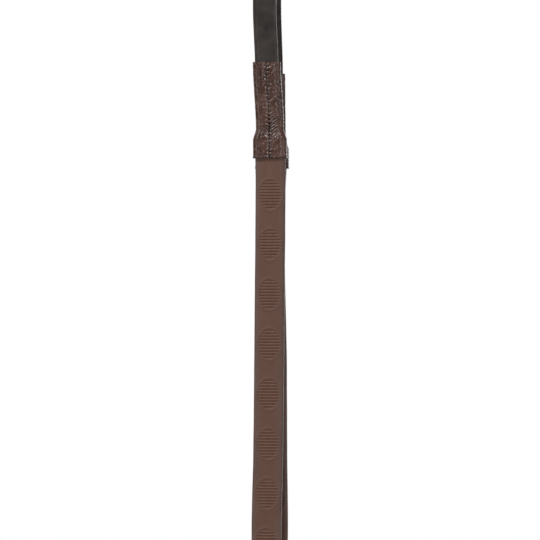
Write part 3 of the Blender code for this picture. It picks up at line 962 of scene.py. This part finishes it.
@dataclass
class Sleeve:
    """A leather cover round one end of the grip, butted and stitched down the middle of its outer face."""

    side: Side
    end: End
    layout: Layout
    finishes: Finishes
    sway: Sway
    wall: float = 0.00055
    gap: float = 0.00032
    side_room: float = 0.00025
    columns: int = 140
    row_length: float = 0.00036
    over_grip: float = 0.0135
    flare: float = 0.0085
    stitch_pitch: float = 0.0028
    lip_rise: float = 0.00034
    lip_reach: float = 0.0022
    groove_reach: float = 0.00070
    groove_depth: float = 0.00032
    hole_radius: float = 0.00140
    pucker: float = 0.00026
    edge_ridge: float = 0.00050
    edge_ridge_inset: float = 0.0026
    wrinkle: float = 0.00061
    fold_sizes: tuple[Pair, ...] = ((0.7, 1.0), (0.75, 1.9), (0.40, 3.3))
    notch_depth: float = 0.0016
    hem_wave: float = 0.0005
    end_reach: float = 0.004
    corner: float = 0.0021
    stitch_size: Triple = (0.00085, 0.00022, 0.00022)
    place: str = field(init=False)
    low: Vector = field(init=False)
    high: Vector = field(init=False)
    wide: Pair = field(init=False)
    narrow: Pair = field(init=False)

    def __post_init__(self) -> None:
        """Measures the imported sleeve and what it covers."""
        self.place = f"{self.side.word}_{self.end.name.lower()}"
        self.low, self.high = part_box(f"{self.place}_sleeve")
        grip_low, grip_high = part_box(f"{self.side.word}_grip")
        spare = self.wall + self.gap
        self.wide = ((grip_high.x - grip_low.x) / 2 + spare, (grip_high.y - grip_low.y) / 2 + spare)
        self.narrow = (self.layout.width / 2 + spare + self.side_room, self.layout.thickness / 2 + spare)

    @property
    def length(self) -> float:
        """Its length."""
        return self.high.z - self.low.z

    def height(self, up: float) -> float:
        """The height of a place by its distance from the end that covers the grip."""
        return self.low.z + up if self.end is End.UPPER else self.high.z - up

    def half_sizes(self, up: float) -> Pair:
        """Half the width and depth of the outside, by the distance from the end that covers the grip."""
        share = eased((up - self.over_grip + 0.0015) / self.flare)
        mouth = 0.0002 * eased(1 - up / 0.002)
        return (
            self.wide[0] + (self.narrow[0] - self.wide[0]) * share + mouth,
            self.wide[1] + (self.narrow[1] - self.wide[1]) * share + mouth,
        )

    def seam(self, share: float, up: float) -> Triple:
        """The signed distance round from the seam, and how near the groove and a hole are."""
        half_width, half_depth = self.half_sizes(up)
        signed = share if share < 0.5 else share - 1
        around = signed * 4 * (half_width + half_depth)
        wander = 0.00018 * noise.noise(Vector((up * 160, 3.0 * self.side.value, self.end.value)))
        around += wander
        groove = eased(1 - abs(around) / self.groove_reach)
        beat = (up / self.stitch_pitch) % 1.0 - 0.5
        hole = eased(1 - math.hypot(around, beat * self.stitch_pitch) / self.hole_radius)
        return around, groove, hole

    def surface(self, share: float, up: float) -> Vector:
        """A point on the outside in the section's plane, seam, puckers and wrinkles included."""
        half_width, half_depth = self.half_sizes(up)
        point, normal = wrapped(share, half_width, half_depth, min(self.corner, half_depth - 0.0001))
        around, groove, hole = self.seam(share, up)
        lip = eased(1 - abs(around) / self.lip_reach)
        beat = math.cos(2 * math.pi * (up / self.stitch_pitch + math.copysign(0.12, around)))
        proud = self.lip_rise * lip - self.groove_depth * groove - self.groove_depth * hole
        proud += self.pucker * beat * math.exp(-abs(around) / 0.0024) * (1 - groove)
        seed = 37 * self.end.value + 11 * self.side.value
        spot = Vector((point.x * 430, point.y * 430, up * 400 + seed))
        folds = sum(size * noise.noise(spot * scale) for size, scale in self.fold_sizes)
        slant = math.sin(2 * math.pi * (up * 420 - abs(around) * 330) + 4 * noise.noise(spot * 0.35))
        near_step = math.exp(-(((up - self.over_grip - 0.010) / 0.009) ** 2))
        reach = math.exp(-abs(around) / 0.0045) * (1 - groove)
        flat = 0.3 + 0.7 * abs(normal.y)
        proud += self.wrinkle * flat * (0.48 * folds + 0.75 * near_step * slant * reach)
        from_edge = half_width - abs(point.x) - self.edge_ridge_inset
        proud += self.edge_ridge * math.exp(-((from_edge / 0.00085) ** 2)) * abs(normal.y)
        return point + normal * proud

    def build(self) -> None:
        """Rolls the cover from a flat sheet, with its seam, flare and creases, and gives it its wall."""
        length = self.length
        middle_y = self.side.value * self.layout.strand_y
        facing = -self.side.value
        obj = flat_piece(f"{self.place}_cover", self.columns, round(length / self.row_length))

        def roll(co: Vector) -> Vector:
            """The place of a sheet's point on the finished cover."""
            up = co.y * length
            point = self.surface(co.x, up)
            near_strap = eased((up - length + self.end_reach) / self.end_reach)
            notch = self.notch_depth * eased(1 - min(co.x, 1 - co.x) / 0.022) * near_strap
            around = 2 * math.pi * co.x
            wave = noise.noise(Vector((2.2 * math.cos(around), 2.2 * math.sin(around), self.side.value)))
            edge = self.hem_wave * wave * (eased(1 - up / self.end_reach) + near_strap)
            z = self.height(up - notch + edge)
            return Vector((facing * point.x + self.sway.at(z), middle_y + facing * point.y, z))

        def tone(co: Vector) -> float:
            """How dark a sheet's point is painted: painted shade in the groove and at the holes, and edge dye
            with painted shade along the mouth.
            """
            up = co.y * length
            _, groove, hole = self.seam(co.x, up)
            mouth = eased(1 - up / 0.0011)
            # Painted shade in the groove and stitch holes; edge dye with painted shade along the mouth.
            return min(0.6 * groove + 2.0 * hole + 0.9 * mouth, 1.0)

        shape(obj, roll, tone)
        mend(obj, 0.000004)
        for finish in (self.finishes.cover, self.finishes.cover_edge):
            obj.data.materials.append(finish)
        solidify(obj, self.wall, -1, rim_slot=1)
        smooth(obj, 60)
        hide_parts(f"{self.place}_sleeve")
        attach(obj, self.side.body)
        self.sew(middle_y, facing)
        LOG.info("%s", obj.name)

    def sew(self, middle_y: float, facing: int) -> None:
        """Sets the seam's stitches, one slanting across the butted edges between each pair of holes."""
        places = []
        for number in range(1, int((self.length - 0.002) / self.stitch_pitch)):
            up = number * self.stitch_pitch
            z = self.height(up)
            y = middle_y - facing * (self.half_sizes(up)[1] - 0.00010)
            places.append(Matrix.Translation((self.sway.at(z), y, z)) @ Matrix.Rotation(1.15, 4, "Y"))
        obj = stitches(f"{self.place}_seam_thread", places, self.stitch_size, self.finishes.thread)
        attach(obj, self.side.body)


def stitches(name: str, places: Sequence[Matrix], half_sizes: Triple, thread: Finish) -> Piece:
    """A row of stitches as one piece, each a plump grain of thread.

    Args:
        name: The piece's name.
        places: Where each stitch lies, its length along local X.
        half_sizes: Half its length, depth and thickness.
        thread: Its material.

    Returns:
        The piece, at the origin.
    """
    deselect()
    bpy.ops.mesh.primitive_uv_sphere_add(segments=10, ring_count=6, radius=1)
    first = bpy.context.object
    first.scale = half_sizes
    settle(first)
    parts = []
    for place in places:
        part = bpy.data.objects.new(name, first.data.copy())
        bpy.context.scene.collection.objects.link(part)
        part.data.transform(place)
        parts.append(part)
    bpy.data.objects.remove(first)
    obj = joined(name, parts)
    obj.data.materials.append(thread)
    smooth(obj, 80)
    return obj


def rod(name: str, path: Sequence[Vector], sizes: Sequence[Pair], side_way: Vector, closed: bool) -> Piece:
    """A drawn bar along a path, flattened as its sizes say.

    Args:
        name: The piece's name.
        path: The points of its middle line.
        sizes: At each point, half its size along side_way and half its size across both.
        side_way: A direction square to the whole path.
        closed: True when the last point meets the first.

    Returns:
        The bar, at the origin.
    """
    last = len(path) - 1
    obj = flat_piece(name, ROD_COLUMNS, last)

    def place(co: Vector) -> Vector:
        """The place on the bar of a point of the flat sheet."""
        number = round(co.y * last)
        before = path[number - 1] if number else path[-2] if closed else path[0]
        after = path[number + 1] if number < last else path[1] if closed else path[-1]
        across = (after - before).cross(side_way).normalized()
        angle = 2 * math.pi * co.x
        first, second = sizes[number]
        return path[number] + side_way * first * math.cos(angle) + across * second * math.sin(angle)

    shape(obj, place)
    mend(obj, 0.000002, fill=not closed)
    return obj


def turned(name: str, profile: Sequence[Pair], center: Vector, way: int) -> Piece:
    """A lathe-turned piece about an axis along Y.

    Args:
        name: The piece's name.
        profile: Its outline as (radius, distance along the axis), from pole to pole, or closed for a ring.
        center: Where the distances start.
        way: 1 to measure towards +Y, -1 towards -Y.

    Returns:
        The piece, at the origin.
    """
    last = len(profile) - 1
    obj = flat_piece(name, LATHE_COLUMNS, last)

    def place(co: Vector) -> Vector:
        """The place on the turned piece of a point of the flat sheet."""
        radius, along = profile[round(co.y * last)]
        angle = 2 * math.pi * co.x
        return center + Vector((radius * math.cos(angle), way * along, radius * math.sin(angle)))

    shape(obj, place)
    mend(obj, 0.000002)
    return obj


@dataclass
class Buckle:
    """The wire buckle that joins the reins, and its prong."""

    layout: Layout
    finishes: Finishes
    frame_corner: float = 0.0024
    curl_half_width: float = 0.0016
    curl_half_wall: float = 0.00060
    point_shrink: float = 0.0005
    rest_gap: float = 0.0011

    def build(self) -> None:
        """Bends the frame and the prong."""
        self.frame()
        self.prong()

    def frame(self) -> None:
        """The frame: round wire bent to a rectangle."""
        low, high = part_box("buckle_frame")
        radius, corner = self.layout.wire_radius, self.frame_corner
        side, top, bottom = high.x - radius - corner, high.z - radius - corner, low.z + radius + corner
        points = []
        for number, (x, z) in enumerate(((side, top), (-side, top), (-side, bottom), (side, bottom))):
            for step in range(9):
                angle = math.radians(90 * number + 90 * step / 8)
                x_out, z_out = corner * math.cos(angle), corner * math.sin(angle)
                points.append(Vector((x + x_out, -self.layout.bar_y, z + z_out)))
        points.append(points[0].copy())
        obj = rod("polished_buckle_frame", points, [(radius, radius)] * len(points), Vector((0, 1, 0)), True)
        metal(obj, self.finishes.steel, "buckle_frame", "centre_join")

    def prong(self) -> None:
        """The prong: a strip curled round the bar, drawn out to a point that lies on the frame's top."""
        layout = self.layout
        _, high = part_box("buckle_prong")
        thick, wide, bore = self.curl_half_wall, self.curl_half_width, layout.wire_radius + layout.clearance
        ring = bore + thick
        rest = layout.bar_y + layout.wire_radius + layout.clearance + self.rest_gap
        span = layout.frame_top_z - layout.bar_z
        path, sizes = [], []
        for step in range(25):
            angle = math.radians(150 + 300 * step / 24)
            y, z = -layout.bar_y - ring * math.sin(angle), layout.bar_z - ring * math.cos(angle)
            path.append(Vector((0, y, z)))
            sizes.append((wide, thick))
        for step in range(1, 17):
            share = step / 16
            z = layout.bar_z + ring + 0.0008 + (high.z - layout.bar_z - ring - 0.0008) * share
            lift = eased(((z - layout.bar_z) / span - 0.35) / 0.45)
            path.append(Vector((0, -layout.bar_y - (rest - layout.bar_y) * lift, z)))
            grown = eased(share / 0.25)
            point = math.sqrt(max(1 - max(share - 0.86, 0) ** 2 / 0.0205, 0.04))
            change = self.point_shrink * grown
            sizes.append(((wide - change) * point, (thick + change) * point))
        obj = rod("polished_buckle_prong", path, sizes, Vector((1, 0, 0)), False)
        metal(obj, self.finishes.steel, "buckle_prong", "prong")


@dataclass
class HookStud:
    """The stud that a billet hooks on, with the washer that its tail is riveted over."""

    side: Side
    layout: Layout
    finishes: Finishes
    base_radius: float = 0.004
    base_thickness: float = 0.0008
    post_radius: float = 0.0013
    head_radius: float = 0.0022
    bend: float = 0.0016

    def disc(self, radius: float, hole: float) -> list[Pair]:
        """The outline of a rounded disc as thick as the base, or of a ring when it has a hole."""
        thick = self.base_thickness
        soft = thick * 0.3
        rim = [(radius - soft, 0.0), (radius, soft), (radius, thick - soft), (radius - soft, thick)]
        if not hole:
            return [(0.0, 0.0), *rim, (0.0, thick)]
        inner = [(hole + soft, thick), (hole, thick - soft), (hole, soft)]
        return [(hole, soft), (hole + soft, 0.0), *rim, *inner]

    def build(self) -> None:
        """Turns the discs and bends the hook."""
        way = self.side.value
        layout = self.layout
        low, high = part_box(f"{self.side.word}_stud_washer")
        z = (low.z + high.z) / 2
        half = layout.thickness / 2
        base_y = layout.strand_y + half + layout.clearance
        washer_y = layout.strand_y - half - layout.clearance
        head_y = washer_y - self.base_thickness - layout.clearance
        hook_y = layout.billet_y + half + layout.clearance + self.post_radius
        _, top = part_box(f"{self.side.word}_hook_stud")
        path = [Vector((0, way * y, z)) for y in (head_y - self.base_thickness / 2, base_y, hook_y)]
        for step in range(1, 9):
            angle = math.pi / 2 * step / 8
            y = hook_y + self.bend * math.sin(angle)
            path.append(Vector((0, way * y, z + self.bend * (1 - math.cos(angle)))))
        sizes = [(self.post_radius, self.post_radius)] * len(path)
        start = path[-1].z
        for step in range(1, 9):
            share = step / 8
            path.append(Vector((0, path[-1].y, start + (top.z - start) * share)))
            narrowing = math.sqrt(max(1 - max(share - 0.55, 0) ** 2 / 0.21, 0.03))
            size = self.post_radius * (1.12 - 0.12 * share) * narrowing
            sizes.append((size, size))
        name = f"{self.side.word}_polished_hook_stud"
        parts = [
            rod(name, path, sizes, Vector((1, 0, 0)), False),
            turned(name, self.disc(self.base_radius, 0), Vector((0, way * base_y, z)), way),
            turned(name, self.disc(self.head_radius, 0), Vector((0, way * head_y, z)), -way),
        ]
        stud = joined(name, parts)
        ring = self.disc(self.base_radius, self.post_radius + layout.clearance)
        washer_name = f"{self.side.word}_polished_washer"
        washer = turned(washer_name, ring, Vector((0, way * washer_y, z)), -way)
        for obj, node in ((stud, "hook_stud"), (washer, "stud_washer")):
            mend(obj, 0.000001)
            metal(obj, self.finishes.steel, f"{self.side.word}_{node}", self.side.body)


@dataclass
class Keeper:
    """A leather loop, closed by a butt joint on its back, with a crease line near each edge."""

    node: str
    body: str
    back: int
    finishes: Finishes
    wall: float = 0.0014
    columns: int = 72
    corner: float = 0.0021
    edge_round: float = 0.0003
    crease_depth: float = 0.00016
    butt_depth: float = 0.00022
    ripple: float = 0.00008
    rows: tuple[float, ...] = (0.0, 0.06, 0.13, 0.17, 0.21, 0.35, 0.5, 0.65, 0.79, 0.83, 0.87, 0.94, 1.0)
    creased_rows: tuple[int, int] = (3, 9)

    def build(self) -> None:
        """Creases a flat strip, wraps it to a loop and rounds its edges."""
        low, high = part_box(self.node)
        half_width, half_depth = (high.x - low.x) / 2, (high.y - low.y) / 2
        middle_y, height = (high.y + low.y) / 2, high.z - low.z
        last = len(self.rows) - 1
        obj = flat_piece(f"{self.node}_loop", self.columns, last)

        def place(co: Vector) -> Vector:
            """The place on the loop of a point of the flat strip."""
            number = round(co.y * last)
            point, normal = wrapped(co.x, half_width, half_depth, self.corner)
            pressed = self.crease_depth * (number in self.creased_rows)
            pressed += self.butt_depth * eased(1 - min(co.x, 1 - co.x) / 0.02)
            puffed = self.ripple * noise.noise(Vector((point.x * 260, point.y * 260, number * 0.7)))
            point = point - normal * (pressed + abs(puffed))
            z = low.z + height * self.rows[number]
            return Vector((self.back * point.x, middle_y - self.back * point.y, z))

        shape(obj, place)
        mend(obj, 0.000004)
        for finish in (self.finishes.strap, self.finishes.strap_edge):
            obj.data.materials.append(finish)
        solidify(obj, self.wall, -1, rim_slot=1)
        round_edges(obj, self.edge_round, 2)
        smooth(obj, 45)
        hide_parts(self.node)
        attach(obj, self.body)
        LOG.info("%s", obj.name)


@dataclass
class HandSewing:
    """Rows of stitches that hold the folded hand end and each fixed keeper."""

    layout: Layout
    finishes: Finishes
    pitch: float = 0.0030
    inset: float = 0.0054
    proud: float = 0.00008
    size: Triple = (0.00115, 0.00028, 0.00030)

    def row(self, y: float, top: float, bottom: float) -> list[Matrix]:
        """The places of two rows of upright stitches on a face."""
        count = int((top - bottom) / self.pitch)
        lean = Matrix.Rotation(math.pi / 2 - 0.12, 4, "Y")
        return [
            Matrix.Translation((x, y, top - number * self.pitch)) @ lean
            for x in (-self.inset, self.inset)
            for number in range(count)
        ]

    def build(self) -> None:
        """Sews every row."""
        layout = self.layout
        inner = layout.strand_y - layout.thickness / 2 - self.proud
        chape = self.row(-inner, layout.bar_z - 0.014, layout.bar_z - layout.chape_length + 0.002)
        self.sew("hand_end_stitches", chape, "centre_join")
        for side in Side:
            low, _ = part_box(f"{side.word}_fixed_keeper")
            rows = self.row(side.value * inner, low.z - 0.0012, low.z - 0.0115)
            self.sew(f"{side.word}_keeper_stitches", rows, side.body)

    def sew(self, name: str, places: list[Matrix], body: str) -> None:
        """Makes one set of rows and lets it ride its body."""
        obj = stitches(name, places, self.size, self.finishes.thread)
        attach(obj, body)


@dataclass(frozen=True)
class Studio:
    """A pale round floor in white surroundings, soft lights and the camera."""

    floor_radius: float = 1.0
    floor_drop: float = 0.12
    floor_tone: Triple = (0.80, 0.80, 0.80)
    floor_glow: float = 0.36
    surround: float = 0.27
    aim: Triple = (0, 0, -0.5)
    distance: float = 1.6
    azimuth: float = 4.6
    view_width: float = 0.372
    target: Triple = (0.0012, -0.0125, -0.3733)
    sensor: float = 36.0

    def build(self) -> None:
        """Sets the stage, the lights and the camera."""
        self.stage()
        self.lights()
        self.camera()

    def stage(self) -> None:
        """A pale floor under the reins, and an even white surround."""
        low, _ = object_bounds()
        deselect()
        bpy.ops.mesh.primitive_circle_add(
            vertices=96, radius=self.floor_radius, fill_type="NGON", location=(0, 0, low.z - self.floor_drop)
        )
        floor = bpy.context.object
        floor.name = "floor"
        paint = bpy.data.materials.new("floor_paint")
        paint.use_nodes = True
        shader = paint.node_tree.nodes["Principled BSDF"]
        shader.inputs["Base Color"].default_value = (*self.floor_tone, 1)
        shader.inputs["Roughness"].default_value = 0.9
        shader.inputs["Emission Color"].default_value = (1, 1, 1, 1)
        shader.inputs["Emission Strength"].default_value = self.floor_glow
        floor.data.materials.append(paint)
        floor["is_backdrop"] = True
        world = bpy.data.worlds.new("studio")
        world.use_nodes = True
        bpy.context.scene.world = world
        nodes, links = world.node_tree.nodes, world.node_tree.links
        lit, seen = nodes["Background"], nodes.new("ShaderNodeBackground")
        for background, strength in ((lit, self.surround), (seen, 1.0)):
            background.inputs["Color"].default_value = (1, 1, 1, 1)
            background.inputs["Strength"].default_value = strength
        path = nodes.new("ShaderNodeLightPath")
        mix = nodes.new("ShaderNodeMixShader")
        links.new(path.outputs["Is Camera Ray"], mix.inputs["Fac"])
        links.new(lit.outputs[0], mix.inputs[1])
        links.new(seen.outputs[0], mix.inputs[2])
        links.new(mix.outputs[0], nodes["World Output"].inputs["Surface"])
        bpy.context.scene.view_settings.view_transform = "Standard"

    def lights(self) -> None:
        """A soft key from above on the left, a weak fill, and tall lights that draw the edges."""
        for name, place, size, power in (
            ("key", (-0.65, -1.10, 1.15), (0.26, 0.34), 31),
            ("fill", (0.85, -1.35, -0.5), (0.4, 0.4), 2.2),
            ("left_strip", (-1.05, -1.20, -0.30), (0.05, 1.2), 9),
            ("right_strip", (1.35, -0.85, -0.45), (0.08, 1.5), 8),
            ("back_right", (0.75, 1.5, -0.2), (0.5, 1.8), 13),
            ("back_left", (-1.2, 1.4, 0.0), (0.6, 1.6), 6),
        ):
            light = bpy.data.lights.new(name, "AREA")
            light.shape = "RECTANGLE"
            light.size, light.size_y = size
            light.energy = power
            lamp = bpy.data.objects.new(name, light)
            lamp.location = place
            lamp.rotation_euler = (Vector(self.aim) - lamp.location).to_track_quat("-Z", "Y").to_euler()
            bpy.context.scene.collection.objects.link(lamp)

    def camera(self) -> None:
        """A long lens, level, a little to the right of straight on."""
        lens = bpy.data.cameras.new("camera")
        lens.sensor_width = self.sensor
        lens.lens = self.sensor * self.distance / self.view_width
        camera = bpy.data.objects.new("camera", lens)
        angle = math.radians(self.azimuth)
        back = Vector((math.sin(angle), -math.cos(angle), 0))
        camera.location = Vector(self.target) + back * self.distance
        camera.rotation_euler = (-back).to_track_quat("-Z", "Y").to_euler()
        bpy.context.scene.collection.objects.link(camera)
        bpy.context.scene.camera = camera


FRONT_SWAY = Sway(
    (
        (-0.137, 0.0), (-0.1886, -0.0025), (-0.2272, -0.0012), (-0.2396, -0.0008), (-0.2699, 0.0010),
        (-0.2906, 0.0013), (-0.3182, 0.0016), (-0.4000, 0.0009), (-0.4973, 0.0), (-0.5580, -0.0012),
        (-0.7000, 0.0006), (-0.9500, 0.0), (-1.2200, 0.0),
    )
)
REAR_SWAY = Sway(
    (
        (-0.137, 0.0), (-0.1886, -0.0010), (-0.2272, 0.0001), (-0.2550, 0.0004), (-0.3030, 0.0007),
        (-0.3182, -0.0003), (-0.3600, -0.0008), (-0.4284, 0.0006), (-0.4973, 0.0010), (-0.5580, 0.0015),
        (-0.7000, 0.0002), (-0.9500, -0.0004), (-1.2200, 0.0),
    )
)


def main() -> None:
    """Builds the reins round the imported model."""
    logging.basicConfig(level=logging.INFO, format="%(name)s: %(message)s", stream=sys.stdout)
    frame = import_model()
    layout = Layout.read(frame["joints"])
    finishes = Finishes()
    for side, sway in ((Side.FRONT, FRONT_SWAY), (Side.REAR, REAR_SWAY)):
        Strap(side, layout, finishes, sway).build()
        Grip(side, layout, finishes, sway).build()
        for end in End:
            Sleeve(side, end, layout, finishes, sway).build()
        HookStud(side, layout, finishes).build()
        Keeper(f"{side.word}_fixed_keeper", side.body, -side.value, finishes).build()
        Keeper(f"{side.word}_runner_keeper", f"{side.word}_runner", -side.value, finishes).build()
    Keeper("buckle_fixed_keeper", "centre_join", 1, finishes).build()
    Keeper("buckle_runner_keeper", "buckle_runner", 1, finishes).build()
    Buckle(layout, finishes).build()
    HandSewing(layout, finishes).build()
    Studio().build()


if __name__ == "__main__":
    main()
